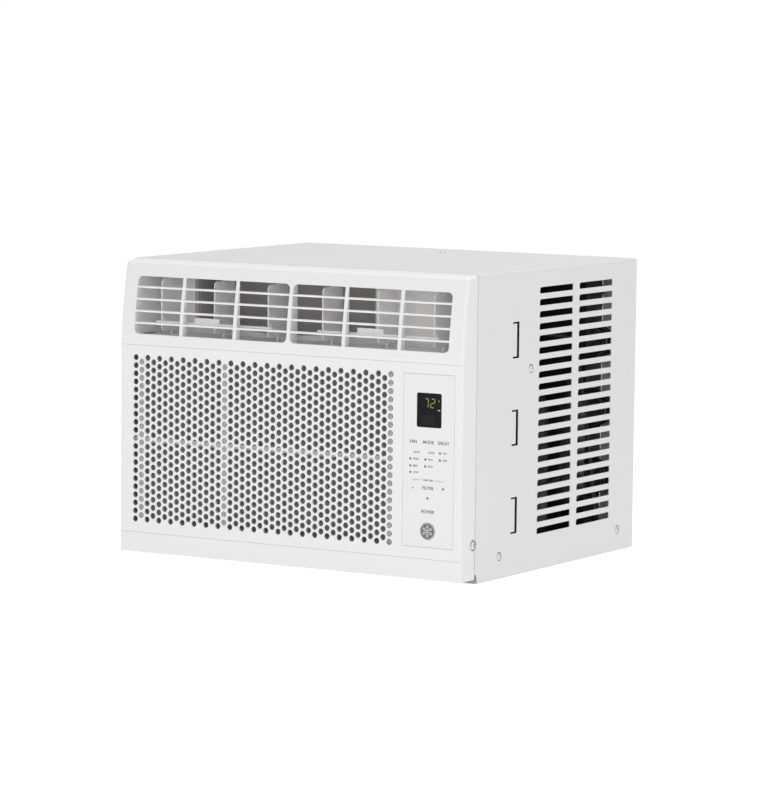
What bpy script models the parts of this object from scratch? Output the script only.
"""Window air conditioner, built as an assembly of separate solids.

Metres, +Z up. X runs across the unit, Y from the room side to the outdoor side, and Z up.
The origin is the centre of the base pan's underside, so the front face lies at Y = -UNIT_DEPTH / 2.
Depths are given as distances behind the front face, and the function behind() turns them into Y.
"""
import math

import bmesh
import bpy
from mathutils import Matrix, Vector

# Driving dimensions: the whole unit
CASE_WIDTH = 0.460
CASE_HEIGHT = 0.345
UNIT_DEPTH = 0.408
HALF_WIDTH = CASE_WIDTH / 2.0

# Stock thicknesses and the gap that separate solids keep
SHEET = 0.0010
PAN_SHEET = 0.0015
PLASTIC = 0.0025
GAP = 0.0003
OVERCUT = 0.002

# Front bezel
BEZEL_DEPTH = 0.0305
BEZEL_INSET = 0.001
BEZEL_BOTTOM = 0.0054
BEZEL_TOP_DROP = 0.003
BEZEL_TOP_RISE = BEZEL_TOP_DROP - 0.0003
BEZEL_EDGE = 0.004
CURVE_START = CASE_HEIGHT - 0.100
CURVE_SETBACK = 0.012
CURVE_POWER = 1.6
CURVE_STEPS = 8
GROOVE_HEIGHTS = (0.0296, CURVE_START + 0.0024)
GROOVE_WIDTH = 0.003
GROOVE_DEPTH = 0.0008

# Air outlet: two groups of three cells side by side, five gaps high
OUTLET_HALF = HALF_WIDTH - 0.0202
OUTLET_BOTTOM = CASE_HEIGHT - 0.0860
OUTLET_TOP = CASE_HEIGHT - 0.0195
OUTLET_RIM = 0.0015
OUTLET_CORNER = 0.006
GRILLE_DEPTH = 0.010
GRILLE_RECESS = 0.0005
CELL_PITCH = OUTLET_HALF * 0.3475
MULLION = 0.0046
SLATS = 4
SLAT_THICKNESS = 0.0024

# Air direction vanes
VANES_PER_GROUP = 3
VANE_THICKNESS = 0.0018
VANE_FRONT = 0.016
VANE_CHORD = 0.042
VANE_PIVOT = 0.036
VANE_CORNER = 0.004
VANE_END_GAP = 0.003
PIVOT_PIN = 0.0015
TIE_PIN = 0.0012
TIE_PIN_DEPTH = 0.0175
PIN_CLEARANCE = 0.0004
BAR_HEIGHT = OUTLET_BOTTOM + 0.014
BAR_THICKNESS = 0.003
BAR_WIDTH = 0.0058
BAR_OVERHANG = 0.0062
NOTCH_HEIGHT = 0.009
NOTCH_DEPTH = 0.0065
GRIP_WIDTH = 0.034
GRIP_HEIGHT = 0.0055
GRIP_THICKNESS = 0.0011
GRIP_OFFSET = -0.0088
RAIL_THICKNESS = 0.0028
RAIL_FRONT = 0.0145
RAIL_DEPTH = 0.0315

# Control panel in the lower right of the bezel
PANEL_LEFT = HALF_WIDTH - 0.077
PANEL_RIGHT = HALF_WIDTH - 0.011
PANEL_BOTTOM = 0.0415
PANEL_TOP = CURVE_START - 0.0103
PANEL_CORNER = 0.0012
FILM = 0.0003
PANEL_PLATE = 0.0024
PANEL_FLANGE = 0.0012
PANEL_FLANGE_OVERLAP = 0.0025
DISPLAY_LEFT = PANEL_LEFT + 0.0175
DISPLAY_RIGHT = PANEL_RIGHT - 0.0169
DISPLAY_BOTTOM = PANEL_TOP - 0.0593
DISPLAY_TOP = PANEL_TOP - 0.0210
DISPLAY_CORNER = 0.002
DISPLAY_THICKNESS = 0.0022
KEY_PITCH = 0.01935
UPPER_KEYS = PANEL_TOP - 0.0759
LOWER_KEYS = PANEL_BOTTOM + 0.0662
POWER_KEY = PANEL_BOTTOM + 0.0398
KEY_WIDTH = 0.0140
KEY_HEIGHT = 0.0080
KEY_CORNER = 0.002
KEY_CLEARANCE = 0.0004
KEY_TRAVEL = 0.0005
KEY_FLANGE = 0.0009
PLUNGER_RADIUS = 0.0015
PLUNGER_LENGTH = 0.0018
BOARD_THICKNESS = 0.0016
BADGE_HEIGHT = PANEL_BOTTOM + 0.0183
BADGE_RADIUS = 0.0096

# Air filter, which slides out through the bezel's left side
FILTER_FRONT = 0.006
FILTER_THICKNESS = 0.0045
FILTER_BOTTOM = 0.033
FILTER_TOP = PANEL_TOP + 0.0065
FILTER_RIGHT = PANEL_LEFT - 0.017
FILTER_BAR = 0.006
FILTER_RIBS = (-HALF_WIDTH + 0.0272, FILTER_RIGHT - 0.2246)
FILTER_SHELF = FILTER_TOP - 0.105
FILTER_MESH = 0.0005
FILTER_CLEARANCE = 0.001

# Case side louvres
SLOT_ROWS = 21
SLOT_TOP = CASE_HEIGHT - 0.0216
SLOT_PITCH = 0.01375
SLOT_HEIGHT = 0.0073
SLOT_COLUMNS = ((UNIT_DEPTH - 0.2370, UNIT_DEPTH - 0.1575), (UNIT_DEPTH - 0.1425, UNIT_DEPTH - 0.0610))
CASE_BEND = 0.003
CASE_BOTTOM = 0.0008
CASE_NOTCH_DEPTH = 0.012
CASE_NOTCH_HEIGHT = 0.006

# Base pan
PAN_WALL = 0.034
PAN_FRONT = 0.0345
TONGUE_BOTTOM = 0.030
TONGUE_TOP = 0.058
TONGUE_FRONT = 0.015

# Screws: shank and washer head
SCREW_SHANK = 0.0019
SCREW_HEAD = 0.0042
SCREW_LENGTH = 0.008
SCREW_HEAD_HEIGHT = 0.0024
SCREW_CLEARANCE = 0.0005
BEZEL_SCREW = (0.0262, 0.0443)
FRONT_SCREW = (0.0846, 0.0256)
REAR_SCREW = (UNIT_DEPTH - 0.0387, 0.0251)
BULKHEAD_SCREW = (0.1527, CASE_HEIGHT - 0.1126)
TOP_SCREW = (0.0044, UNIT_DEPTH - 0.0703)

# Shared fan axis
AXIS_X = -0.0435
AXIS_Z = 0.140
SHAFT_RADIUS = 0.004
SHAFT_FRONT = 0.098
SHAFT_REAR = UNIT_DEPTH - 0.082
ROUND = 24

# Blower on the room side
WHEEL_RADIUS = 0.085
WHEEL_EYE = 0.068
WHEEL_FRONT = 0.077
WHEEL_WIDTH = 0.056
WHEEL_PLATE = 0.002
WHEEL_BLADES = 20
WHEEL_BLADE = 0.0012
WHEEL_BLADE_TURN = 35.0
WHEEL_HUB = 0.012
WHEEL_HUB_LENGTH = 0.022
SCROLL_START = 35.0
SCROLL_CLEARANCE = 0.008
SCROLL_WIDEST = 0.1225
SCROLL_STEPS = 14
SCROLL_FRONT = 0.0725
SCROLL_DEPTH = 0.0675
SCROLL_WALL = 0.002
SCROLL_TOP = OUTLET_TOP - 0.001
DISCHARGE_BOTTOM = OUTLET_BOTTOM + 0.003
SHAFT_OPENING = 0.014

# Foam outlet duct between the scroll and the vanes
DUCT_FRONT = 0.0465
DUCT_REAR = 0.0690
DUCT_BACK_WALL = 0.008
DUCT_WALL = 0.004

# Bulkhead, motor and condenser fan
BULKHEAD = 0.150
BULKHEAD_SHEET = 0.0012
BULKHEAD_FLANGE = 0.009
LINE_PASS = ((HALF_WIDTH - 0.040, HALF_WIDTH - 0.006), (0.040, 0.112))
MOTOR_RADIUS = 0.050
MOTOR_FRONT = 0.162
MOTOR_LENGTH = 0.062
MOTOR_BOSS = 0.030
MOTOR_BEARING = 0.013
FAN_RADIUS = 0.122
FAN_FRONT = UNIT_DEPTH - 0.111
FAN_WIDTH = 0.024
FAN_BLADES = 5
FAN_HUB = 0.024
FAN_BLADE = 0.0022
FAN_PITCH = 26.0
SLINGER = 0.003
SHROUD = UNIT_DEPTH - 0.075
SHROUD_SHEET = 0.0012
SHROUD_COLLAR = 0.022
SHROUD_CLEARANCE = 0.007
SHROUD_RIGHT = HALF_WIDTH - 0.027

# Coils: (left, right), (front, rear), (bottom, top), passes in each of the two rows
COIL_TUBE = 0.0035
COIL_HOLE = 0.0043
COIL_STUB = 0.004
BEND_STEPS = 3
EVAPORATOR = ((-HALF_WIDTH + 0.034, PANEL_LEFT - 0.045), (0.024, 0.058), (0.034, CURVE_START + 0.001))
EVAPORATOR_PASSES = 6
CONDENSER = ((-HALF_WIDTH + 0.031, HALF_WIDTH - 0.040), (UNIT_DEPTH - 0.056, UNIT_DEPTH - 0.020),
             (0.006, CASE_HEIGHT - 0.019))
CONDENSER_PASSES = 8

# Compressor group
COMPRESSOR = (HALF_WIDTH - 0.075, 0.230)
COMPRESSOR_RADIUS = 0.050
COMPRESSOR_BOTTOM = 0.016
COMPRESSOR_TOP = 0.205
FOOT_REACH = 0.062
FOOT_WIDTH = 0.026
FOOT_PLATE = 0.0025
GROMMET_RADIUS = 0.009
ACCUMULATOR = (HALF_WIDTH - 0.030, 0.296)
ACCUMULATOR_RADIUS = 0.021
ACCUMULATOR_BOTTOM = 0.060
ACCUMULATOR_TOP = 0.192
LINE_RADIUS = 0.0032
CAPILLARY_RADIUS = 0.0014
DRIER = (HALF_WIDTH - 0.017, 0.012)
DRIER_RADIUS = 0.0075
DRIER_SPAN = (SHROUD - 0.047, SHROUD + 0.007)

# Electrical parts
BOX_FRONT = 0.014
BOX_REAR = 0.066
BOX_SIDES = (PANEL_LEFT - 0.005, HALF_WIDTH - 0.0105)
BOX_HEIGHTS = (0.038, PANEL_TOP + 0.0053)
CAPACITOR_RADIUS = 0.017
CAPACITOR_HEIGHT = 0.075

# Rear guard
GUARD_FRONT = UNIT_DEPTH - 0.009
GUARD_THICKNESS = 0.003
GUARD_BAR = 0.004
GUARD_COLUMNS = 10
GUARD_ROWS = 8

BEZEL_HALF = HALF_WIDTH - BEZEL_INSET
BEZEL_TOP = CASE_HEIGHT - BEZEL_TOP_DROP
CASE_FRONT = BEZEL_DEPTH + GAP
CASE_INNER = HALF_WIDTH - SHEET
PAN_HALF = CASE_INNER - GAP
PAN_INNER = PAN_HALF - PAN_SHEET

COLOURS = {
    "white_plastic": ((0.84, 0.84, 0.84), 0.42, 0.0),
    "painted_steel": ((0.70, 0.69, 0.70), 0.45, 0.0),
    "galvanised": ((0.55, 0.56, 0.58), 0.40, 0.9),
    "light_vane": ((0.60, 0.60, 0.61), 0.45, 0.0),
    "foam": ((0.62, 0.62, 0.62), 0.85, 0.0),
    "dark_plastic": ((0.12, 0.12, 0.13), 0.50, 0.0),
    "display_black": ((0.01, 0.01, 0.01), 0.15, 0.0),
    "film_white": ((0.80, 0.80, 0.80), 0.35, 0.0),
    "filter_grey": ((0.30, 0.30, 0.31), 0.70, 0.0),
    "board_green": ((0.05, 0.22, 0.10), 0.50, 0.0),
    "copper": ((0.72, 0.36, 0.22), 0.30, 1.0),
    "aluminium": ((0.75, 0.76, 0.78), 0.35, 1.0),
    "black_steel": ((0.02, 0.02, 0.02), 0.40, 0.0),
    "rubber": ((0.03, 0.03, 0.03), 0.80, 0.0),
    "bright_steel": ((0.60, 0.60, 0.60), 0.30, 1.0),
    "badge_grey": ((0.50, 0.51, 0.53), 0.35, 0.2),
}

SIDE_VIEW = Matrix(((0, 0, 1, 0), (1, 0, 0, 0), (0, 1, 0, 0), (0, 0, 0, 1)))
FRONT_VIEW = Matrix.Rotation(math.radians(90.0), 4, "X")
PLAN_VIEW = Matrix.Identity(4)


# Scene, collections and materials

def empty_scene():
    """Remove what the file holds and make the two collections."""
    for old in list(bpy.data.objects):
        bpy.data.objects.remove(old, do_unlink=True)
    groups = []
    for name in ("window_air_conditioner", "cutters"):
        group = bpy.data.collections.new(name)
        bpy.context.scene.collection.children.link(group)
        groups.append(group)
    return groups


PARTS, CUTTERS = empty_scene()


def finish(name):
    """The named finish as a material, made the first time it is asked for."""
    found = bpy.data.materials.get(name)
    if found is not None:
        return found
    colour, roughness, metallic = COLOURS[name]
    made = bpy.data.materials.new(name)
    made.use_nodes = True
    shader = made.node_tree.nodes["Principled BSDF"]
    shader.inputs["Base Color"].default_value = (*colour, 1.0)
    shader.inputs["Roughness"].default_value = roughness
    shader.inputs["Metallic"].default_value = metallic
    return made


def behind(distance):
    """Y of the plane this far behind the front face."""
    return distance - UNIT_DEPTH / 2.0


# Basic solids

def place(name, mesh, coat):
    """Put a mesh in the scene with its origin at its middle; without a coat it is a cutter."""
    low = Vector([min(v.co[i] for v in mesh.vertices) for i in range(3)])
    high = Vector([max(v.co[i] for v in mesh.vertices) for i in range(3)])
    centre = (low + high) / 2.0
    mesh.transform(Matrix.Translation(-centre))
    solid = bpy.data.objects.new(name, mesh)
    solid.location = centre
    dress(solid, coat)
    return solid


def dress(solid, coat):
    """Give a part its finish, or mark a cutter as one."""
    if coat is None:
        CUTTERS.objects.link(solid)
        solid.hide_render = True
        solid.display_type = "WIRE"
        return
    PARTS.objects.link(solid)
    solid.data.materials.append(finish(coat))


def move_origin(solid, point):
    """Set the object's origin on its joint axis without moving its shape."""
    bpy.context.view_layer.update()
    shift = solid.matrix_world.inverted() @ Vector(point)
    solid.data.transform(Matrix.Translation(-shift))
    solid.location = point


def add_box(shape, across, depth, height):
    """Add a box to a bmesh; each argument is a (low, high) pair."""
    size = (across[1] - across[0], depth[1] - depth[0], height[1] - height[0])
    middle = Vector((sum(across) / 2.0, behind(sum(depth) / 2.0), sum(height) / 2.0))
    matrix = Matrix.Translation(middle) @ Matrix.Diagonal((*size, 1.0))
    bmesh.ops.create_cube(shape, size=1.0, matrix=matrix)


def boxes(name, limits, coat=None):
    """One object of one or more boxes that stay clear of each other."""
    shape = bmesh.new()
    for across, depth, height in limits:
        add_box(shape, across, depth, height)
    mesh = bpy.data.meshes.new(name)
    shape.to_mesh(mesh)
    shape.free()
    return place(name, mesh, coat)


def rods(name, radius, ends, coat=None, sides=12):
    """One object of one or more round rods, each from one end point to the other."""
    shape = bmesh.new()
    for start, stop in ends:
        start = Vector(start)
        run = Vector(stop) - start
        turn = Vector((0.0, 0.0, 1.0)).rotation_difference(run).to_matrix().to_4x4()
        matrix = Matrix.Translation(start + run / 2.0) @ turn
        bmesh.ops.create_cone(shape, cap_ends=True, segments=sides, radius1=radius,
                              radius2=radius, depth=run.length, matrix=matrix)
    mesh = bpy.data.meshes.new(name)
    shape.to_mesh(mesh)
    shape.free()
    return place(name, mesh, coat)


def mesh_of(curve_object):
    """The closed mesh of a curve object, which is then removed."""
    depsgraph = bpy.context.evaluated_depsgraph_get()
    mesh = bpy.data.meshes.new_from_object(curve_object.evaluated_get(depsgraph))
    bpy.data.objects.remove(curve_object, do_unlink=True)
    shape = bmesh.new()
    shape.from_mesh(mesh)
    bmesh.ops.remove_doubles(shape, verts=shape.verts, dist=0.00001)
    bmesh.ops.dissolve_limit(shape, angle_limit=0.001, verts=shape.verts, edges=shape.edges)
    bmesh.ops.recalc_face_normals(shape, faces=shape.faces)
    shape.to_mesh(mesh)
    shape.free()
    return mesh


def slab(name, outline, view, limits, coat=None):
    """A flat outline of (u, v) points, extruded between the limits along the view's normal."""
    curve = bpy.data.curves.new(name, "CURVE")
    curve.dimensions = "2D"
    curve.fill_mode = "BOTH"
    curve.extrude = (limits[1] - limits[0]) / 2.0
    spline = curve.splines.new("POLY")
    spline.points.add(len(outline) - 1)
    for point, (u, v) in zip(spline.points, outline):
        point.co = (u, v, 0.0, 1.0)
    spline.use_cyclic_u = True
    holder = bpy.data.objects.new(name + "_outline", curve)
    CUTTERS.objects.link(holder)
    mesh = mesh_of(holder)
    normal = view.to_3x3() @ Vector((0.0, 0.0, 1.0))
    middle = sum(limits) / 2.0
    mesh.transform(Matrix.Translation(Vector([abs(part) * middle for part in normal])) @ view)
    return place(name, mesh, coat)


def tube(name, path, radius, coat):
    """A bent tube along a path of points, with closed ends."""
    curve = bpy.data.curves.new(name, "CURVE")
    curve.dimensions = "3D"
    curve.bevel_depth = radius
    curve.bevel_resolution = 2
    curve.use_fill_caps = True
    spline = curve.splines.new("POLY")
    spline.points.add(len(path) - 1)
    for point, place_at in zip(spline.points, path):
        point.co = (*place_at, 1.0)
    line = bpy.data.objects.new(name, curve)
    dress(line, coat)
    return line


def turned(name, profile, coat, centre, axis="Z", sides=ROUND, ring=False):
    """A profile of (radius, height) points turned about an axis through centre."""
    mesh = bpy.data.meshes.new(name)
    edges = [(i, i + 1) for i in range(len(profile) - 1)]
    if ring:
        edges.append((len(profile) - 1, 0))
    mesh.from_pydata([(radius, 0.0, height) for radius, height in profile], edges, [])
    solid = bpy.data.objects.new(name, mesh)
    solid.location = centre
    turns = {"Z": (0.0, 0.0, 0.0), "Y": (-math.pi / 2.0, 0.0, 0.0), "X": (0.0, math.pi / 2.0, 0.0)}
    solid.rotation_euler = turns[axis]
    dress(solid, coat)
    screw = solid.modifiers.new("turn", "SCREW")
    screw.steps = sides
    screw.render_steps = sides
    screw.use_merge_vertices = True
    screw.merge_threshold = 0.00001
    return solid


def combine(solid, tool, operation):
    """Join a tool to a solid, or cut it out."""
    step = solid.modifiers.new(tool.name, "BOOLEAN")
    step.operation = operation
    step.object = tool
    return solid


def cut(solid, tool):
    """Cut the tool out of the solid."""
    return combine(solid, tool, "DIFFERENCE")


def join(solid, tool):
    """Fuse the tool with the solid."""
    return combine(solid, tool, "UNION")


def rounded(low, high, radius, steps=3):
    """A rectangle outline from its low corner to its high corner, with round corners."""
    points = []
    corners = ((high[0] - radius, high[1] - radius, 0), (low[0] + radius, high[1] - radius, 90),
               (low[0] + radius, low[1] + radius, 180), (high[0] - radius, low[1] + radius, 270))
    for u, v, start in corners:
        for step in range(steps + 1):
            angle = math.radians(start + 90.0 * step / steps)
            points.append((u + radius * math.cos(angle), v + radius * math.sin(angle)))
    return points


def bent(corners, radius, steps=3):
    """A path through corner points, with each corner rounded to a bend."""
    points = [Vector(corners[0])]
    for before, corner, after in zip(corners, corners[1:], corners[2:]):
        corner = Vector(corner)
        back = Vector(before) - corner
        ahead = Vector(after) - corner
        reach = min(radius, back.length * 0.45, ahead.length * 0.45)
        start = corner + back.normalized() * reach
        stop = corner + ahead.normalized() * reach
        for step in range(steps + 1):
            share = step / steps
            first = start.lerp(corner, share)
            second = corner.lerp(stop, share)
            points.append(first.lerp(second, share))
    points.append(Vector(corners[-1]))
    return points


# Housing

def face_setback(height):
    """How far the bezel's face curves back from the front plane at a height."""
    rise = max(0.0, (height - CURVE_START) / (BEZEL_TOP - CURVE_START))
    return CURVE_SETBACK * rise ** CURVE_POWER


def face_line(bottom, top, offset):
    """Points up the bezel's face from bottom to top, moved back by the offset."""
    heights = [bottom]
    heights += [CURVE_START + (top - CURVE_START) * step / CURVE_STEPS for step in range(CURVE_STEPS + 1)]
    return [(behind(face_setback(height) + offset), height) for height in heights]


def bezel_block(name, wall, rear, coat=None):
    """The bezel's outer form, drawn in by a wall thickness; its top rises to the case behind it."""
    outline = face_line(BEZEL_BOTTOM + wall, BEZEL_TOP - wall, wall)
    crown = BEZEL_TOP + BEZEL_TOP_RISE * rear / BEZEL_DEPTH - wall
    outline += [(behind(rear), crown), (behind(rear), BEZEL_BOTTOM + wall)]
    half = BEZEL_HALF - wall
    return slab(name, outline, SIDE_VIEW, (-half, half), coat)


def round_front_edges(solid, rear):
    """Round the block's sharp edges, but not those of its open rear side."""
    shape = bmesh.new()
    shape.from_mesh(solid.data)
    limit = rear - solid.location.y - 0.0001
    sharp = []
    for edge in shape.edges:
        at_rear = all(vertex.co.y > limit for vertex in edge.verts)
        if not at_rear and edge.calc_face_angle(0.0) > math.radians(50.0):
            sharp.append(edge)
    bmesh.ops.bevel(shape, geom=sharp, offset=BEZEL_EDGE, segments=3, profile=0.5, affect="EDGES")
    shape.to_mesh(solid.data)
    shape.free()


def outlet_outline(margin):
    """The air outlet's rounded outline, grown by a margin."""
    low = (-OUTLET_HALF - margin, OUTLET_BOTTOM - margin)
    high = (OUTLET_HALF + margin, OUTLET_TOP + margin)
    return rounded(low, high, OUTLET_CORNER + margin)


def panel_outline(margin):
    """The control panel's rounded outline, grown by a margin."""
    low = (PANEL_LEFT - margin, PANEL_BOTTOM - margin)
    high = (PANEL_RIGHT + margin, PANEL_TOP + margin)
    return rounded(low, high, PANEL_CORNER + max(margin, 0.0))


def side_hole(name, places, radius, side=1):
    """Round cutters through one side wall, at (distance behind the front, height) places."""
    outer = HALF_WIDTH + OVERCUT
    inner = PAN_INNER - OVERCUT - GAP * 10.0
    ends = [((side * inner, behind(d), z), (side * outer, behind(d), z)) for d, z in places]
    return rods(name, radius, ends)


def make_bezel():
    """Moulded front shell with the outlet window, panel opening, grooves and filter slot."""
    bezel = bezel_block("front_bezel", 0.0, BEZEL_DEPTH, "white_plastic")
    round_front_edges(bezel, behind(BEZEL_DEPTH))
    cut(bezel, bezel_block("bezel_inside", PLASTIC, BEZEL_DEPTH + OVERCUT))
    through = (behind(-OVERCUT), behind(CURVE_SETBACK + PLASTIC + OVERCUT))
    cut(bezel, slab("outlet_window", outlet_outline(OUTLET_RIM + GAP), FRONT_VIEW, through))
    cut(bezel, slab("panel_window", panel_outline(0.0), FRONT_VIEW, through))
    across = (-BEZEL_HALF - OVERCUT, BEZEL_HALF + OVERCUT)
    grooves = []
    for height in GROOVE_HEIGHTS:
        band = (height - GROOVE_WIDTH / 2.0, height + GROOVE_WIDTH / 2.0)
        grooves.append((across, (-OVERCUT, GROOVE_DEPTH), band))
    cut(bezel, boxes("bezel_grooves", grooves))
    slot_depth = (FILTER_FRONT - FILTER_CLEARANCE,
                  FILTER_FRONT + FILTER_THICKNESS + GAP + FILTER_MESH + FILTER_CLEARANCE)
    slot_height = (FILTER_BOTTOM - FILTER_CLEARANCE, FILTER_TOP + FILTER_CLEARANCE)
    left_wall = (-BEZEL_HALF - OVERCUT, -BEZEL_HALF + PLASTIC + OVERCUT / 4.0)
    cut(bezel, boxes("filter_slot", [(left_wall, slot_depth, slot_height)]))
    shelf_depth = (PLASTIC / 2.0, slot_depth[1])
    shelf_across = (-BEZEL_HALF + PLASTIC / 2.0, FILTER_RIGHT)
    below = (slot_height[0] - PLASTIC, slot_height[0])
    above = (slot_height[1], slot_height[1] + PLASTIC)
    guides = [(shelf_across, shelf_depth, below), (shelf_across, shelf_depth, above)]
    join(bezel, boxes("filter_guides", guides))
    for side in (-1, 1):
        cut(bezel, side_hole(f"bezel_screw_hole_{side}", [BEZEL_SCREW],
                             SCREW_SHANK + SCREW_CLEARANCE, side))


def cell_edges():
    """The (low, high) X limits of the outlet's six columns of cells."""
    marks = [-OUTLET_HALF - MULLION / 2.0]
    marks += [CELL_PITCH * step for step in (-2, -1, 0, 1, 2)]
    marks.append(OUTLET_HALF + MULLION / 2.0)
    return [(a + MULLION / 2.0, b - MULLION / 2.0) for a, b in zip(marks, marks[1:])]


def make_outlet_grille():
    """Fixed grid of slats and mullions that fills the outlet window."""
    span = (behind(-OVERCUT), behind(GRILLE_DEPTH))
    grille = slab("outlet_grille", outlet_outline(OUTLET_RIM), FRONT_VIEW, span, "white_plastic")
    pitch = (OUTLET_TOP - OUTLET_BOTTOM + SLAT_THICKNESS) / (SLATS + 1)
    cells = []
    for row in range(SLATS + 1):
        low = OUTLET_BOTTOM + row * pitch
        for across in cell_edges():
            height = (low, low + pitch - SLAT_THICKNESS)
            cells.append((across, (-2.0 * OVERCUT, GRILLE_DEPTH + OVERCUT), height))
    cut(grille, boxes("outlet_cells", cells))
    ahead = face_line(CURVE_START, BEZEL_TOP, GRILLE_RECESS)
    ahead += [(behind(-3.0 * OVERCUT), BEZEL_TOP), (behind(-3.0 * OVERCUT), CURVE_START)]
    reach = OUTLET_HALF + OUTLET_RIM + OVERCUT
    cut(grille, slab("grille_face", ahead, SIDE_VIEW, (-reach, reach)))


def make_outer_case():
    """Steel wrapper bent over the top and down both sides, with louvre slots."""
    half = HALF_WIDTH
    outline = [(-half, CASE_BOTTOM)]
    for centre, start in ((-1, 180), (1, 90)):
        for step in range(4):
            angle = math.radians(start - 30.0 * step)
            outline.append((centre * (half - CASE_BEND) + CASE_BEND * math.cos(angle),
                            CASE_HEIGHT - CASE_BEND + CASE_BEND * math.sin(angle)))
    outline += [(half, CASE_BOTTOM), (half - SHEET, CASE_BOTTOM)]
    inner = CASE_BEND - SHEET
    for centre, start in ((1, 0), (-1, 90)):
        for step in range(4):
            angle = math.radians(start + 30.0 * step)
            outline.append((centre * (half - CASE_BEND) + inner * math.cos(angle),
                            CASE_HEIGHT - CASE_BEND + inner * math.sin(angle)))
    outline.append((-half + SHEET, CASE_BOTTOM))
    case = slab("outer_case", outline, FRONT_VIEW, (behind(CASE_FRONT), behind(UNIT_DEPTH)), "painted_steel")
    slots = []
    for side in (-1, 1):
        across = sorted((side * (half - SHEET - OVERCUT), side * (half + OVERCUT)))
        for depth in SLOT_COLUMNS:
            for row in range(SLOT_ROWS):
                top = SLOT_TOP - row * SLOT_PITCH
                slots.append((across, depth, (top - SLOT_HEIGHT, top)))
    cut(case, boxes("louvre_slots", slots))
    places = [FRONT_SCREW, REAR_SCREW, BULKHEAD_SCREW]
    cut(case, side_hole("case_screw_holes", places, SCREW_SHANK + SCREW_CLEARANCE))
    cut(case, side_hole("case_screw_hole_left", [FRONT_SCREW], SCREW_SHANK + SCREW_CLEARANCE, -1))
    top = (TOP_SCREW[0], behind(TOP_SCREW[1]))
    ends = [((*top, CASE_HEIGHT - SHEET - OVERCUT), (*top, CASE_HEIGHT + OVERCUT))]
    cut(case, rods("top_screw_hole", SCREW_SHANK + SCREW_CLEARANCE, ends))
    notch = ((CASE_INNER - OVERCUT, half + OVERCUT), (CASE_FRONT - OVERCUT, CASE_FRONT + CASE_NOTCH_DEPTH),
             (CASE_BOTTOM - OVERCUT, CASE_BOTTOM + CASE_NOTCH_HEIGHT))
    cut(case, boxes("cord_notch", [notch]))


def make_base_pan():
    """Folded steel tray with tongues that the bezel screws to, and ledges under the evaporator."""
    rear = UNIT_DEPTH - SHEET - GAP
    pan = boxes("base_pan", [((-PAN_HALF, PAN_HALF), (PAN_FRONT, rear), (0.0, PAN_WALL))], "galvanised")
    hollow = ((-PAN_INNER, PAN_INNER), (PAN_FRONT + PAN_SHEET, rear - PAN_SHEET),
              (PAN_SHEET, PAN_WALL + OVERCUT))
    cut(pan, boxes("pan_hollow", [hollow]))
    ledge_across = (EVAPORATOR[0][0] + 0.006, EVAPORATOR[0][1] - 0.006)
    ledges = []
    for front in (EVAPORATOR[1][0] + 0.016, EVAPORATOR[1][1] - 0.004):
        ledges.append((ledge_across, (front, front + PAN_SHEET), (PAN_SHEET / 2.0, EVAPORATOR[2][0] - GAP)))
    join(pan, boxes("evaporator_ledges", ledges))
    tongue_outer = BEZEL_HALF - PLASTIC - GAP
    for side in (-1, 1):
        tongue = sorted((side * tongue_outer, side * (tongue_outer - PAN_SHEET)))
        joggle = sorted((side * PAN_HALF, side * (tongue_outer - PAN_SHEET)))
        heights = (TONGUE_BOTTOM, TONGUE_TOP)
        join(pan, boxes(f"tongue_{side}", [(tongue, (TONGUE_FRONT, PAN_FRONT + PAN_SHEET / 2.0), heights)]))
        step = (PAN_FRONT, PAN_FRONT + PAN_SHEET)
        join(pan, boxes(f"tongue_joggle_{side}", [(joggle, step, (TONGUE_BOTTOM - 0.006, TONGUE_TOP))]))
        cut(pan, side_hole(f"tongue_hole_{side}", [BEZEL_SCREW], SCREW_SHANK + SCREW_CLEARANCE, side))
    cut(pan, side_hole("pan_screw_holes", [FRONT_SCREW, REAR_SCREW], SCREW_SHANK + SCREW_CLEARANCE))
    cut(pan, side_hole("pan_screw_hole_left", [FRONT_SCREW], SCREW_SHANK + SCREW_CLEARANCE, -1))


def make_screw(name, seat, axis):
    """A washer-head screw whose head seats at a point and points along +X or +Z."""
    head = SCREW_HEAD_HEIGHT
    profile = [(0.0, head), (SCREW_HEAD * 0.55, head * 0.85), (SCREW_HEAD * 0.62, head * 0.35),
               (SCREW_HEAD, head * 0.2), (SCREW_HEAD, GAP), (SCREW_SHANK, GAP),
               (SCREW_SHANK, -SCREW_LENGTH + 0.001), (0.0, -SCREW_LENGTH)]
    return turned(name, profile, "bright_steel", seat, axis, sides=12)


def make_screws():
    """The screws on the case's right side and top, and one of those on its left side."""
    outer = HALF_WIDTH
    make_screw("bezel_screw", (BEZEL_HALF, behind(BEZEL_SCREW[0]), BEZEL_SCREW[1]), "X")
    names = {"case_screw_front": FRONT_SCREW, "case_screw_rear": REAR_SCREW,
             "case_screw_middle": BULKHEAD_SCREW}
    for name, (depth, height) in names.items():
        make_screw(name, (outer, behind(depth), height), "X")
    left = make_screw("case_screw_left", (-outer, behind(FRONT_SCREW[0]), FRONT_SCREW[1]), "X")
    left.rotation_euler.y = -math.pi / 2.0
    make_screw("case_screw_top", (TOP_SCREW[0], behind(TOP_SCREW[1]), CASE_HEIGHT), "Z")


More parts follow.
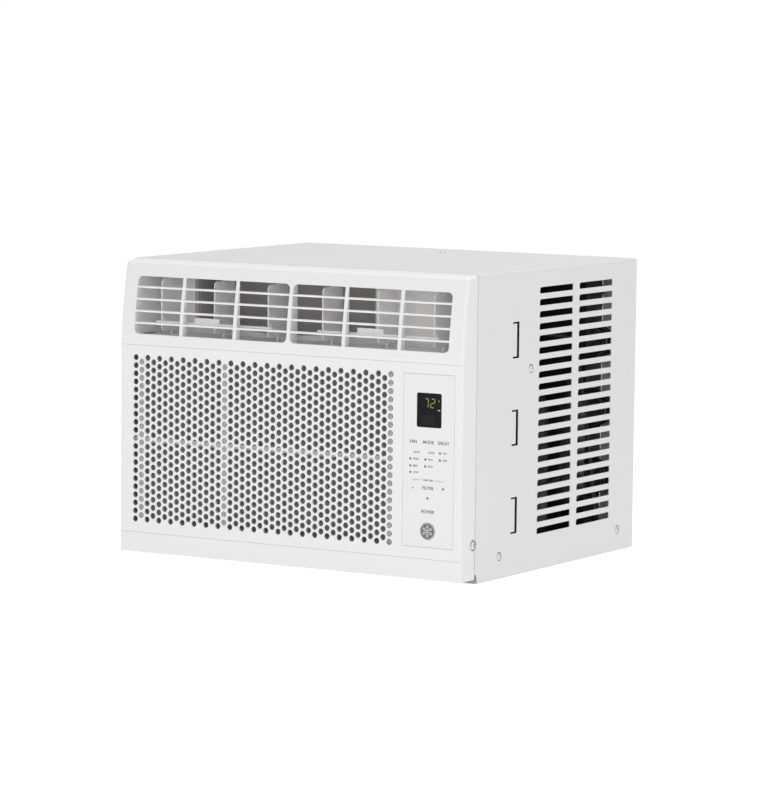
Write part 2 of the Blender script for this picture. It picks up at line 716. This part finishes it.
def make_rear_guard():
    """Flat grid over the condenser, with solid margins that close the case's open rear round it."""
    half = PAN_INNER - GAP
    low = PAN_SHEET + GAP
    high = CASE_HEIGHT - SHEET - GAP
    span = (GUARD_FRONT, GUARD_FRONT + GUARD_THICKNESS)
    guard = boxes("rear_guard", [((-half, half), span, (low, high))], "painted_steel")
    (left, right), _, (_, top) = CONDENSER
    bottom = low + GUARD_BAR
    column = (right - left + GUARD_BAR) / GUARD_COLUMNS
    row = (top - bottom + GUARD_BAR) / GUARD_ROWS
    cells = []
    for i in range(GUARD_COLUMNS):
        for j in range(GUARD_ROWS):
            across = (left + i * column, left + (i + 1) * column - GUARD_BAR)
            height = (bottom + j * row, bottom + (j + 1) * row - GUARD_BAR)
            cells.append((across, (span[0] - OVERCUT, span[1] + OVERCUT), height))
    cut(guard, boxes("guard_cells", cells))


# Air direction vanes

def vane_places(group):
    """X of the three vanes in the left (-1) or right (1) group, from the left."""
    middle = group * CELL_PITCH * VANES_PER_GROUP / 2.0
    return [middle + (index - 1) * CELL_PITCH for index in range(VANES_PER_GROUP)]


def rail_heights():
    """The lower and upper vane rails' (low, high) heights."""
    low = OUTLET_BOTTOM - OUTLET_RIM - GAP
    high = OUTLET_TOP + OUTLET_RIM + GAP
    return (low - RAIL_THICKNESS, low), (high, high + RAIL_THICKNESS)


def make_vane(name, x):
    """An upright vane with pivot pins above and below and a tie pin across its notch."""
    bottom = OUTLET_BOTTOM + VANE_END_GAP
    top = OUTLET_TOP - VANE_END_GAP
    front = behind(VANE_FRONT)
    rear = behind(VANE_FRONT + VANE_CHORD)
    notch = (BAR_HEIGHT - NOTCH_HEIGHT / 2.0, BAR_HEIGHT + NOTCH_HEIGHT / 2.0)
    limits = (x - VANE_THICKNESS / 2.0, x + VANE_THICKNESS / 2.0)
    vane = slab(name, rounded((front, bottom), (rear, top), VANE_CORNER, 3), SIDE_VIEW, limits, "light_vane")
    notch_box = ((limits[0] - OVERCUT, limits[1] + OVERCUT),
                 (VANE_FRONT - OVERCUT, VANE_FRONT + NOTCH_DEPTH), notch)
    cut(vane, boxes(name + "_notch", [notch_box]))
    lower, upper = rail_heights()
    pivot = (x, behind(VANE_PIVOT))
    pins = [((*pivot, lower[0] + GAP), (*pivot, bottom + VANE_CORNER)),
            ((*pivot, top - VANE_CORNER), (*pivot, upper[1] - GAP))]
    join(vane, rods(name + "_pivots", PIVOT_PIN, pins, sides=10))
    tie = (x, behind(TIE_PIN_DEPTH))
    ends = [((*tie, notch[0] - VANE_THICKNESS / 2.0), (*tie, notch[1] + VANE_THICKNESS / 2.0))]
    join(vane, rods(name + "_tie_pin", TIE_PIN, ends, sides=10))
    move_origin(vane, (x, behind(VANE_PIVOT), (bottom + top) / 2.0))


def make_tie_bar(name, group):
    """The bar that ties a group of three vanes, with a finger grip on it."""
    places = vane_places(group)
    span = (places[0] - BAR_OVERHANG, places[-1] + BAR_OVERHANG)
    depth = (TIE_PIN_DEPTH - BAR_WIDTH / 2.0 - 0.0006, TIE_PIN_DEPTH + BAR_WIDTH / 2.0 - 0.0006)
    height = (BAR_HEIGHT - BAR_THICKNESS / 2.0, BAR_HEIGHT + BAR_THICKNESS / 2.0)
    bar = boxes(name, [(span, depth, height)], "light_vane")
    middle = places[1] + GRIP_OFFSET
    grip = ((middle - GRIP_WIDTH / 2.0, middle + GRIP_WIDTH / 2.0), (depth[0], depth[0] + GRIP_THICKNESS),
            (BAR_HEIGHT, height[1] + GRIP_HEIGHT))
    join(bar, boxes(name + "_grip", [grip]))
    holes = []
    for x in places:
        spot = (x, behind(TIE_PIN_DEPTH))
        holes.append(((*spot, height[0] - OVERCUT), (*spot, height[1] + OVERCUT)))
    cut(bar, rods(name + "_holes", TIE_PIN + PIN_CLEARANCE, holes, sides=12))
    move_origin(bar, (places[1], behind(TIE_PIN_DEPTH), BAR_HEIGHT))


def make_vanes():
    """Both groups of vanes, their tie bars and the two rails that hold the pivots."""
    holes = []
    lower, upper = rail_heights()
    for group, side in ((-1, "left"), (1, "right")):
        for index, x in enumerate(vane_places(group)):
            make_vane(f"vane_{side}_{index + 1}", x)
            spot = (x, behind(VANE_PIVOT))
            holes.append(((*spot, lower[0] - OVERCUT), (*spot, lower[1] + OVERCUT)))
            holes.append(((*spot, upper[0] - OVERCUT), (*spot, upper[1] + OVERCUT)))
        make_tie_bar(f"tie_bar_{side}", group)
    cutter = rods("pivot_holes", PIVOT_PIN + PIN_CLEARANCE, holes, sides=12)
    half = OUTLET_HALF + DUCT_WALL
    for name, height in (("vane_rail_lower", lower), ("vane_rail_upper", upper)):
        rail = boxes(name, [((-half, half), (RAIL_FRONT, RAIL_FRONT + RAIL_DEPTH), height)], "white_plastic")
        cut(rail, cutter)


# Control panel

def key_places():
    """Each key's name and its (X, Z) centre."""
    middle = (DISPLAY_LEFT + DISPLAY_RIGHT) / 2.0 - 0.0005
    rows = {UPPER_KEYS: ("key_fan", "key_mode", "key_delay"),
            LOWER_KEYS: ("key_down", "key_filter", "key_up")}
    places = {"key_power": (middle, POWER_KEY)}
    for height, names in rows.items():
        for column, name in enumerate(names):
            places[name] = (middle + (column - 1) * KEY_PITCH, height)
    return places


def key_outline(centre, margin):
    """A key's rounded outline, grown by a margin."""
    low = (centre[0] - KEY_WIDTH / 2.0 - margin, centre[1] - KEY_HEIGHT / 2.0 - margin)
    high = (centre[0] + KEY_WIDTH / 2.0 + margin, centre[1] + KEY_HEIGHT / 2.0 + margin)
    return rounded(low, high, KEY_CORNER + margin, 2)


def make_key(name, centre):
    """A key cap with a retaining flange and a plunger for its switch."""
    plate_back = FILM + GAP + PANEL_PLATE + PANEL_FLANGE
    flange_front = plate_back + GAP
    span = (behind(0.0), behind(flange_front + GAP))
    cap = slab(name, key_outline(centre, 0.0), FRONT_VIEW, span, "film_white")
    flange_back = flange_front + PANEL_FLANGE
    flange = ((centre[0] - KEY_WIDTH / 2.0 - KEY_FLANGE, centre[0] + KEY_WIDTH / 2.0 + KEY_FLANGE),
              (flange_front, flange_back),
              (centre[1] - KEY_HEIGHT / 2.0 - KEY_FLANGE, centre[1] + KEY_HEIGHT / 2.0 + KEY_FLANGE))
    join(cap, boxes(name + "_flange", [flange]))
    ends = [((centre[0], behind(flange_back - GAP), centre[1]),
             (centre[0], behind(flange_back + PLUNGER_LENGTH), centre[1]))]
    join(cap, rods(name + "_plunger", PLUNGER_RADIUS, ends, sides=10))
    return flange_back + PLUNGER_LENGTH


def make_control_panel():
    """Panel plate, printed film, display window, keys, badge and the circuit board behind."""
    low = (DISPLAY_LEFT, DISPLAY_BOTTOM)
    high = (DISPLAY_RIGHT, DISPLAY_TOP)
    spot = ((low[0] + high[0]) / 2.0 - 0.0005, BADGE_HEIGHT)
    openings = []
    for name, centre in key_places().items():
        openings.append((name, key_outline(centre, KEY_CLEARANCE)))
    spread = (low[0] - GAP, low[1] - GAP), (high[0] + GAP, high[1] + GAP)
    openings.append(("display", rounded(*spread, DISPLAY_CORNER + GAP, 2)))
    plate = (FILM + GAP, FILM + GAP + PANEL_PLATE)
    panel = slab("control_panel", panel_outline(-GAP), FRONT_VIEW, (behind(plate[0]), behind(plate[1])),
                 "white_plastic")
    flange = slab("panel_flange", panel_outline(PANEL_FLANGE_OVERLAP), FRONT_VIEW,
                  (behind(plate[1] - GAP / 2.0 + 0.0003), behind(plate[1] + PANEL_FLANGE)))
    join(panel, slab("panel_step", panel_outline(-GAP - PLASTIC), FRONT_VIEW,
                     (behind(plate[1] - PLASTIC / 2.0), behind(plate[1] + PANEL_FLANGE))))
    join(panel, flange)
    film = slab("control_film", panel_outline(-GAP), FRONT_VIEW, (behind(0.0), behind(FILM)), "film_white")
    through = (behind(-OVERCUT), behind(plate[1] + PANEL_FLANGE + OVERCUT))
    for name, outline in openings:
        cutter = slab(name + "_opening", outline, FRONT_VIEW, through)
        cut(panel, cutter)
        cut(film, cutter)
    badge_ends = [((spot[0], behind(-OVERCUT), spot[1]), (spot[0], behind(FILM + GAP / 2.0), spot[1]))]
    cut(film, rods("badge_opening", BADGE_RADIUS + GAP, badge_ends, sides=ROUND))
    ends = [((spot[0], behind(0.0), spot[1]), (spot[0], behind(FILM), spot[1]))]
    rods("badge_disc", BADGE_RADIUS, ends, "badge_grey", sides=ROUND)
    slab("display_window", rounded(low, high, DISPLAY_CORNER, 2), FRONT_VIEW,
         (behind(0.0), behind(DISPLAY_THICKNESS)), "display_black")
    plunger_end = 0.0
    for name, centre in key_places().items():
        plunger_end = make_key(name, centre)
    board = plunger_end + KEY_TRAVEL + GAP
    inset = 0.003
    boxes("control_board", [((PANEL_LEFT + inset, PANEL_RIGHT - inset), (board, board + BOARD_THICKNESS),
                             (PANEL_BOTTOM + inset, PANEL_TOP - inset))], "board_green")


# Air filter

def make_filter():
    """Filter frame with its ribs, and the mesh behind it."""
    left = -BEZEL_HALF
    depth = (FILTER_FRONT, FILTER_FRONT + FILTER_THICKNESS)
    outer = ((left, FILTER_RIGHT - GAP), depth, (FILTER_BOTTOM, FILTER_TOP))
    frame = boxes("filter_frame", [outer], "filter_grey")
    uprights = [left + FILTER_BAR / 2.0, *FILTER_RIBS, FILTER_RIGHT - FILTER_BAR / 2.0]
    levels = [FILTER_BOTTOM + FILTER_BAR / 2.0, FILTER_SHELF, FILTER_TOP - FILTER_BAR / 2.0]
    windows = []
    for a, b in zip(uprights, uprights[1:]):
        for low, high in zip(levels, levels[1:]):
            windows.append(((a + FILTER_BAR / 2.0, b - FILTER_BAR / 2.0),
                            (depth[0] - OVERCUT, depth[1] + OVERCUT),
                            (low + FILTER_BAR / 2.0, high - FILTER_BAR / 2.0)))
    cut(frame, boxes("filter_windows", windows))
    mesh = ((left + FILTER_BAR, FILTER_RIGHT - FILTER_BAR / 2.0),
            (depth[1] + GAP, depth[1] + GAP + FILTER_MESH),
            (FILTER_BOTTOM + FILTER_BAR / 2.0, FILTER_TOP - FILTER_BAR / 2.0))
    boxes("filter_mesh", [mesh], "dark_plastic")


# Blower

def scroll_outline(offset, top):
    """The blower housing's outline in X and Z: a spiral round the wheel, opening upwards."""
    points = []
    least = WHEEL_RADIUS + SCROLL_CLEARANCE
    for step in range(SCROLL_STEPS + 1):
        share = step / SCROLL_STEPS
        angle = math.radians(SCROLL_START - (SCROLL_START + 180.0) * share)
        radius = least + (SCROLL_WIDEST - least) * share + offset
        points.append((AXIS_X + radius * math.cos(angle), AXIS_Z + radius * math.sin(angle)))
    points += [(AXIS_X - SCROLL_WIDEST - offset, top), (AXIS_X + SCROLL_WIDEST + offset, top)]
    points.append((AXIS_X + SCROLL_WIDEST + offset, DISCHARGE_BOTTOM - 0.02))
    return points


def axis_ring(name, radius, limits, sides=ROUND):
    """A round cutter on the fan axis."""
    ends = [((AXIS_X, behind(limits[0]), AXIS_Z), (AXIS_X, behind(limits[1]), AXIS_Z))]
    return rods(name, radius, ends, sides=sides)


def make_blower():
    """Scroll housing, its inlet ring plate, and the wheel."""
    rear = SCROLL_FRONT + SCROLL_DEPTH
    span = (behind(SCROLL_FRONT), behind(rear))
    outer = scroll_outline(SCROLL_WALL, SCROLL_TOP)
    housing = slab("blower_housing", outer, FRONT_VIEW, span, "dark_plastic")
    hollow = (behind(SCROLL_FRONT - OVERCUT), behind(rear - SCROLL_WALL))
    inner = scroll_outline(0.0, SCROLL_TOP - SCROLL_WALL)
    cut(housing, slab("scroll_hollow", inner, FRONT_VIEW, hollow))
    cut(housing, axis_ring("scroll_shaft_hole", SHAFT_OPENING, (rear - 0.01, rear + 0.01)))
    plate = (SCROLL_FRONT - GAP - SCROLL_WALL, SCROLL_FRONT - GAP)
    orifice = slab("blower_orifice", scroll_outline(SCROLL_WALL, DUCT_BOTTOM - GAP), FRONT_VIEW,
                   (behind(plate[0]), behind(plate[1])), "dark_plastic")
    cut(orifice, axis_ring("orifice_eye", WHEEL_EYE, (plate[0] - 0.01, plate[1] + 0.01)))
    make_blower_wheel()


def make_blower_wheel():
    """Squirrel cage wheel: back plate with hub, front ring and a ring of blades."""
    back = WHEEL_WIDTH
    disc = WHEEL_PLATE
    bore = SHAFT_RADIUS + GAP + 0.0001
    profile = [(bore, back), (WHEEL_RADIUS, back), (WHEEL_RADIUS, back - disc), (WHEEL_HUB, back - disc),
               (WHEEL_HUB, back - WHEEL_HUB_LENGTH), (bore, back - WHEEL_HUB_LENGTH)]
    centre = (AXIS_X, behind(WHEEL_FRONT), AXIS_Z)
    wheel = turned("blower_wheel", profile, "dark_plastic", centre, "Y", ring=True)
    rim = [(WHEEL_EYE + 0.002, disc), (WHEEL_RADIUS, disc), (WHEEL_RADIUS, 0.0), (WHEEL_EYE + 0.002, 0.0)]
    shape = bmesh.new()
    middle = (WHEEL_EYE + WHEEL_RADIUS) / 2.0 + 0.0005
    length = (WHEEL_RADIUS - WHEEL_EYE) * 0.86
    for index in range(WHEEL_BLADES):
        spin = Matrix.Rotation(math.tau * index / WHEEL_BLADES, 4, "Z")
        lean = Matrix.Rotation(math.radians(WHEEL_BLADE_TURN), 4, "Z")
        size = Matrix.Diagonal((length, WHEEL_BLADE, back - disc, 1.0))
        spot = Matrix.Translation((middle, 0.0, back / 2.0))
        bmesh.ops.create_cube(shape, size=1.0, matrix=spin @ spot @ lean @ size)
    mesh = bpy.data.meshes.new("wheel_blades")
    shape.to_mesh(mesh)
    shape.free()
    blades = bpy.data.objects.new("wheel_blades", mesh)
    blades.location = centre
    blades.rotation_euler = wheel.rotation_euler
    dress(blades, None)
    join(wheel, blades)
    join(wheel, turned("wheel_rim", rim, None, centre, "Y", ring=True))


# Foam duct

DUCT_BOTTOM = OUTLET_BOTTOM - OUTLET_RIM - GAP - RAIL_THICKNESS - DUCT_WALL


def make_outlet_duct():
    """Foam collar behind the vanes, open in front, with the scroll's mouth in its back wall."""
    half = OUTLET_HALF + DUCT_WALL
    top = OUTLET_TOP + OUTLET_RIM + GAP + RAIL_THICKNESS + DUCT_WALL
    duct = boxes("outlet_duct", [((-half, half), (DUCT_FRONT, DUCT_REAR), (DUCT_BOTTOM, top))], "foam")
    hollow = ((-OUTLET_HALF, OUTLET_HALF), (DUCT_FRONT - OVERCUT, DUCT_REAR - DUCT_BACK_WALL),
              (OUTLET_BOTTOM - OUTLET_RIM, OUTLET_TOP + OUTLET_RIM))
    cut(duct, boxes("duct_hollow", [hollow]))
    mouth = ((AXIS_X - SCROLL_WIDEST, AXIS_X + SCROLL_WIDEST),
             (DUCT_REAR - DUCT_BACK_WALL - OVERCUT, DUCT_REAR + OVERCUT),
             (DISCHARGE_BOTTOM, SCROLL_TOP - SCROLL_WALL))
    cut(duct, boxes("duct_mouth", [mouth]))


# Outdoor side

def make_bulkhead():
    """Steel partition with openings for the shaft and the refrigerant lines."""
    half = PAN_INNER - GAP
    low = PAN_SHEET + GAP
    span = (BULKHEAD, BULKHEAD + BULKHEAD_SHEET)
    height = (low, CASE_HEIGHT - SHEET - GAP * 4.0)
    wall = boxes("bulkhead", [((-half, half), span, height)], "galvanised")
    flange = ((half - BULKHEAD_SHEET, half), (BULKHEAD + BULKHEAD_SHEET / 2.0, BULKHEAD + BULKHEAD_FLANGE),
              (PAN_WALL + 0.01, CASE_HEIGHT - 0.03))
    join(wall, boxes("bulkhead_flange", [flange]))
    cut(wall, axis_ring("bulkhead_shaft_hole", SHAFT_OPENING, (span[0] - 0.01, span[1] + 0.01)))
    passing = (LINE_PASS[0], (span[0] - OVERCUT, span[1] + OVERCUT / 4.0), LINE_PASS[1])
    cut(wall, boxes("line_pass", [passing]))
    cut(wall, side_hole("bulkhead_screw_hole", [BULKHEAD_SCREW], SCREW_SHANK + SCREW_CLEARANCE))


def make_motor():
    """Double-ended fan motor on a boss against the bulkhead, and its through shaft."""
    bore = SHAFT_RADIUS + GAP + 0.0002
    boss = BULKHEAD + BULKHEAD_SHEET + GAP - MOTOR_FRONT
    end = MOTOR_LENGTH
    profile = [(bore, end + 0.010), (MOTOR_BEARING, end + 0.010), (MOTOR_BEARING, end + 0.002),
               (MOTOR_RADIUS * 0.86, end), (MOTOR_RADIUS, end - 0.008), (MOTOR_RADIUS, 0.008),
               (MOTOR_RADIUS * 0.86, 0.0), (MOTOR_BOSS, 0.0), (MOTOR_BOSS, boss), (bore, boss)]
    centre = (AXIS_X, behind(MOTOR_FRONT), AXIS_Z)
    turned("fan_motor", profile, "galvanised", centre, "Y", ring=True)
    ends = [((AXIS_X, behind(SHAFT_FRONT), AXIS_Z), (AXIS_X, behind(SHAFT_REAR), AXIS_Z))]
    rods("motor_shaft", SHAFT_RADIUS, ends, "bright_steel", sides=16)


def make_condenser_fan():
    """Axial fan with pitched blades and a slinger ring round the tips."""
    bore = SHAFT_RADIUS + GAP + 0.0001
    hub = [(bore, FAN_WIDTH), (FAN_HUB, FAN_WIDTH), (FAN_HUB, 0.0), (bore, 0.0)]
    centre = (AXIS_X, behind(FAN_FRONT), AXIS_Z)
    fan = turned("condenser_fan", hub, "dark_plastic", centre, "Y", ring=True)
    shape = bmesh.new()
    length = FAN_RADIUS - FAN_HUB + 0.003
    width = FAN_RADIUS * 0.62
    for index in range(FAN_BLADES):
        made = bmesh.ops.create_grid(shape, x_segments=2, y_segments=3, size=0.5)
        for vertex in made["verts"]:
            out = vertex.co.x + 0.5
            across = vertex.co.y * width * (0.22 + 0.78 * out)
            tilt = math.radians(FAN_PITCH * (1.5 - 0.5 * out))
            radius = FAN_HUB - 0.002 + length * out
            swing = across * math.cos(tilt) / radius + math.tau * index / FAN_BLADES
            bow = 0.004 * (1.0 - (2.0 * vertex.co.y) ** 2)
            rise = FAN_WIDTH / 2.0 - across * math.sin(tilt) * 0.55 + bow - 0.002
            vertex.co = (radius * math.cos(swing), radius * math.sin(swing), rise)
    mesh = bpy.data.meshes.new("fan_blades")
    shape.to_mesh(mesh)
    shape.free()
    blades = bpy.data.objects.new("fan_blades", mesh)
    blades.location = centre
    blades.rotation_euler = fan.rotation_euler
    dress(blades, None)
    wall = blades.modifiers.new("blade_wall", "SOLIDIFY")
    wall.thickness = FAN_BLADE
    wall.offset = 0.0
    join(fan, blades)
    rim = [(FAN_RADIUS - 0.001, 0.017), (FAN_RADIUS + SLINGER, 0.017), (FAN_RADIUS + SLINGER, 0.007),
           (FAN_RADIUS - 0.001, 0.007)]
    join(fan, turned("slinger_ring", rim, None, centre, "Y", sides=36, ring=True))


def make_shroud():
    """Sheet between the fan and the condenser, with a collar round the fan."""
    low = PAN_SHEET + GAP
    left = -PAN_INNER + GAP
    span = (SHROUD, SHROUD + SHROUD_SHEET)
    sheet = boxes("condenser_shroud", [((left, SHROUD_RIGHT), span, (low, CASE_HEIGHT - SHEET - 0.002))],
                  "galvanised")
    opening = FAN_RADIUS + SLINGER + SHROUD_CLEARANCE
    profile = [(opening + SHROUD_SHEET, SHROUD_SHEET * 1.5), (opening + SHROUD_SHEET, -SHROUD_COLLAR),
               (opening, -SHROUD_COLLAR), (opening, SHROUD_SHEET * 1.5)]
    centre = (AXIS_X, behind(SHROUD), AXIS_Z)
    hole = opening + SHROUD_SHEET / 2.0
    disc = [(0.0, OVERCUT), (hole, OVERCUT), (hole, -OVERCUT), (0.0, -OVERCUT)]
    cut(sheet, turned("shroud_opening", disc, None, centre, "Y", sides=36))
    join(sheet, turned("shroud_collar", profile, None, centre, "Y", sides=36, ring=True))
    lip_top = CASE_HEIGHT - SHEET - 0.002
    lip = ((TOP_SCREW[0] - 0.02, TOP_SCREW[0] + 0.02), (SHROUD + SHROUD_SHEET / 2.0, TOP_SCREW[1] + 0.008),
           (lip_top - SHROUD_SHEET, lip_top))
    join(sheet, boxes("shroud_lip", [lip]))
    spot = (TOP_SCREW[0], behind(TOP_SCREW[1]))
    ends = [((*spot, lip_top - 0.004), (*spot, lip_top + 0.004))]
    cut(sheet, rods("shroud_lip_hole", SCREW_SHANK + SCREW_CLEARANCE, ends))


def coil_levels(coil, passes):
    """Heights of a coil's tube passes."""
    bottom, top = coil[2]
    pitch = (top - bottom) / passes
    return [bottom + pitch * (index + 0.5) for index in range(passes)]


def coil_rows(coil):
    """Distances behind the front of a coil's two rows."""
    front, rear = coil[1]
    quarter = (rear - front) / 4.0
    return front + quarter, rear - quarter


def coil_path(coil, passes):
    """One long tube: up the front row, then down the rear row, with both ends on the right."""
    left = coil[0][0] - COIL_STUB
    right = coil[0][1] + COIL_STUB
    levels = coil_levels(coil, passes)
    front, rear = coil_rows(coil)
    lanes = [(front, z) for z in levels] + [(rear, z) for z in reversed(levels)]
    path = []
    for index, (depth, z) in enumerate(lanes):
        starts, ends = (right, left) if index % 2 == 0 else (left, right)
        path += [(starts, behind(depth), z), (ends, behind(depth), z)]
        if index == len(lanes) - 1:
            break
        after = Vector((0.0, behind(lanes[index + 1][0]), lanes[index + 1][1]))
        here = Vector((0.0, behind(depth), z))
        middle = (here + after) / 2.0
        radius = (after - here).length / 2.0
        outward = -1.0 if ends == left else 1.0
        for step in range(1, BEND_STEPS):
            angle = math.pi * step / BEND_STEPS
            spot = middle + (here - middle) * math.cos(angle)
            path.append((ends + outward * radius * math.sin(angle), spot.y, spot.z))
    return path


def make_coil(name, coil, passes, tail):
    """A block of fins with a hairpin tube through it; the tail leads on from the tube's last end."""
    fins = boxes(name + "_fins", [coil], "aluminium")
    across = (coil[0][0] - OVERCUT, coil[0][1] + OVERCUT)
    ends = []
    for depth in coil_rows(coil):
        for z in coil_levels(coil, passes):
            ends.append(((across[0], behind(depth), z), (across[1], behind(depth), z)))
    cut(fins, rods(name + "_tube_holes", COIL_HOLE, ends, sides=8))
    tube(name + "_tubes", coil_path(coil, passes) + tail, COIL_TUBE, "copper")


def make_compressor():
    """Welded shell with its foot plate, three rubber mounts and the suction accumulator."""
    x, depth = COMPRESSOR
    y = behind(depth)
    low = COMPRESSOR_BOTTOM
    high = COMPRESSOR_TOP
    radius = COMPRESSOR_RADIUS
    profile = [(0.0, high), (radius * 0.55, high - 0.003), (radius * 0.9, high - 0.014),
               (radius, high - 0.028), (radius, low + 0.022), (radius * 0.9, low + 0.010),
               (radius * 0.55, low + 0.002), (0.0, low)]
    shell = turned("compressor", profile, "black_steel", (x, y, 0.0))
    foot_low = low - 0.002
    shape = bmesh.new()
    places = []
    for index in range(3):
        angle = math.radians(90.0 + 120.0 * index)
        spot = (x + FOOT_REACH * math.cos(angle), y + FOOT_REACH * math.sin(angle))
        places.append(spot)
        turn = Matrix.Rotation(angle, 4, "Z")
        reach = FOOT_REACH + FOOT_WIDTH / 2.0
        size = Matrix.Diagonal((reach, FOOT_WIDTH, FOOT_PLATE, 1.0))
        middle = Matrix.Translation((reach / 2.0, 0.0, foot_low + FOOT_PLATE / 2.0 + 0.0001 * index))
        foot = bpy.data.meshes.new("foot")
        bmesh.ops.create_cube(shape, size=1.0, matrix=Matrix.Translation((x, y, 0.0)) @ turn @ middle @ size)
        shape.to_mesh(foot)
        shape.clear()
        join(shell, place(f"foot_{index + 1}", foot, None))
    shape.free()
    hub = [((x, y, foot_low + FOOT_PLATE / 4.0), (x, y, low + 0.02))]
    join(shell, rods("foot_hub", radius * 0.5, hub, sides=ROUND))
    floor = PAN_SHEET + GAP
    for index, spot in enumerate(places):
        ends = [((*spot, floor), (*spot, foot_low - GAP))]
        rods(f"compressor_mount_{index + 1}", GROMMET_RADIUS, ends, "rubber", sides=16)
    ax, ad = ACCUMULATOR
    radius = ACCUMULATOR_RADIUS
    low, high = ACCUMULATOR_BOTTOM, ACCUMULATOR_TOP
    profile = [(0.0, high), (radius * 0.45, high - 0.001), (radius, high - 0.016), (radius, low + 0.016),
               (radius * 0.45, low + 0.001), (0.0, low)]
    turned("accumulator", profile, "black_steel", (ax, behind(ad), 0.0), sides=16)


def make_lines():
    """Refrigerant lines between the coils, the compressor and the filter drier."""
    levels = coil_levels(EVAPORATOR, EVAPORATOR_PASSES)
    front, rear = coil_rows(EVAPORATOR)
    start = EVAPORATOR[0][1] + COIL_STUB + GAP
    wall = PAN_INNER - 0.012
    pass_low = LINE_PASS[1][0]
    ax, ad = ACCUMULATOR
    top = ACCUMULATOR_TOP + GAP
    suction = [(start, behind(rear), levels[0]), (start + 0.014, behind(rear), levels[0]),
               (start + 0.020, behind(BOX_REAR + 0.016), levels[0]),
               (wall, behind(BOX_REAR + 0.034), pass_low + 0.045),
               (wall, behind(BULKHEAD + 0.1), pass_low + 0.055),
               (wall, behind(ad - 0.025), top + 0.02),
               (ax, behind(ad), top + 0.024), (ax, behind(ad), top)]
    tube("suction_line", bent(suction, 0.014), LINE_RADIUS, "copper")
    cx, cd = COMPRESSOR
    inlet = CONDENSER[0][1] + COIL_STUB + GAP
    cond_front = coil_rows(CONDENSER)[0]
    cond_levels = coil_levels(CONDENSER, CONDENSER_PASSES)
    port = COMPRESSOR_TOP + GAP
    discharge = [(cx, behind(cd), port), (cx, behind(cd), port + 0.045),
                 (cx - 0.02, behind(cd + 0.03), port + 0.06),
                 (ax, behind(SHROUD - 0.02), port + 0.05),
                 (wall, behind(SHROUD - 0.006), port - 0.1),
                 (wall, behind(SHROUD + 0.008), cond_levels[0] + 0.006),
                 (inlet + 0.012, behind(cond_front), cond_levels[0]),
                 (inlet, behind(cond_front), cond_levels[0])]
    tube("discharge_line", bent(discharge, 0.016), LINE_RADIUS, "copper")
    dx, dz = DRIER
    neck = LINE_RADIUS
    length = DRIER_SPAN[1] - DRIER_SPAN[0]
    profile = [(0.0, length), (neck, length), (neck, length - 0.008), (DRIER_RADIUS, length - 0.014),
               (DRIER_RADIUS, 0.014), (neck * 0.8, 0.008), (neck * 0.8, 0.0), (0.0, 0.0)]
    turned("filter_drier", profile, "copper", (dx, behind(DRIER_SPAN[0]), dz), "Y", sides=12)
    capillary = [(dx, behind(DRIER_SPAN[0] - GAP), dz), (dx, behind(DRIER_SPAN[0] - 0.03), dz),
                 (wall, behind(BULKHEAD + 0.03), pass_low + 0.015),
                 (wall, behind(BULKHEAD - 0.03), pass_low + 0.012),
                 (start + 0.055, behind(BOX_REAR + 0.012), levels[0] - 0.020),
                 (start + 0.022, behind(front + 0.01), levels[0] - 0.016),
                 (start + 0.012, behind(front), levels[0]), (start, behind(front), levels[0])]
    tube("capillary_line", bent(capillary, 0.010, 2), CAPILLARY_RADIUS, "copper")


def make_coils():
    """Evaporator behind the filter, and condenser at the rear."""
    make_coil("evaporator", EVAPORATOR, EVAPORATOR_PASSES, [])
    rear = coil_rows(CONDENSER)[1]
    low = coil_levels(CONDENSER, CONDENSER_PASSES)[0]
    right = CONDENSER[0][1] + COIL_STUB
    dx, dz = DRIER
    turn = [(right, behind(rear), low), (dx - 0.006, behind(rear), low), (dx, behind(rear - 0.008), dz),
            (dx, behind(DRIER_SPAN[1] + GAP), dz)]
    make_coil("condenser", CONDENSER, CONDENSER_PASSES, bent(turn, 0.006, 2)[1:])


# Electrical parts

def make_electrical():
    """Control box behind the panel, run capacitor in it, and the supply cord's gland."""
    box = boxes("control_box", [(BOX_SIDES, (BOX_FRONT, BOX_REAR), BOX_HEIGHTS)], "galvanised")
    hollow = ((BOX_SIDES[0] + PAN_SHEET, BOX_SIDES[1] - PAN_SHEET),
              (BOX_FRONT - OVERCUT, BOX_REAR - PAN_SHEET),
              (BOX_HEIGHTS[0] + PAN_SHEET, BOX_HEIGHTS[1] - PAN_SHEET))
    cut(box, boxes("box_hollow", [hollow]))
    x = sum(BOX_SIDES) / 2.0
    y = behind((BOX_FRONT + BOX_REAR) / 2.0 + 0.004)
    low = BOX_HEIGHTS[0] + PAN_SHEET + GAP
    ends = [((x, y, low), (x, y, low + CAPACITOR_HEIGHT))]
    rods("run_capacitor", CAPACITOR_RADIUS, ends, "bright_steel", sides=20)
    depth = (PAN_FRONT - 0.0035, PAN_FRONT - GAP)
    height = (CASE_BOTTOM + 0.0006, CASE_BOTTOM + CASE_NOTCH_HEIGHT - 0.0008)
    across = (CASE_INNER - 0.012, HALF_WIDTH)
    boxes("cord_gland", [(across, depth, height)], "rubber")


make_bezel()
make_outlet_grille()
make_outer_case()
make_base_pan()
make_screws()
make_rear_guard()
make_vanes()
make_control_panel()
make_filter()
make_blower()
make_outlet_duct()
make_bulkhead()
make_motor()
make_condenser_fan()
make_shroud()
make_coils()
make_compressor()
make_lines()
make_electrical()
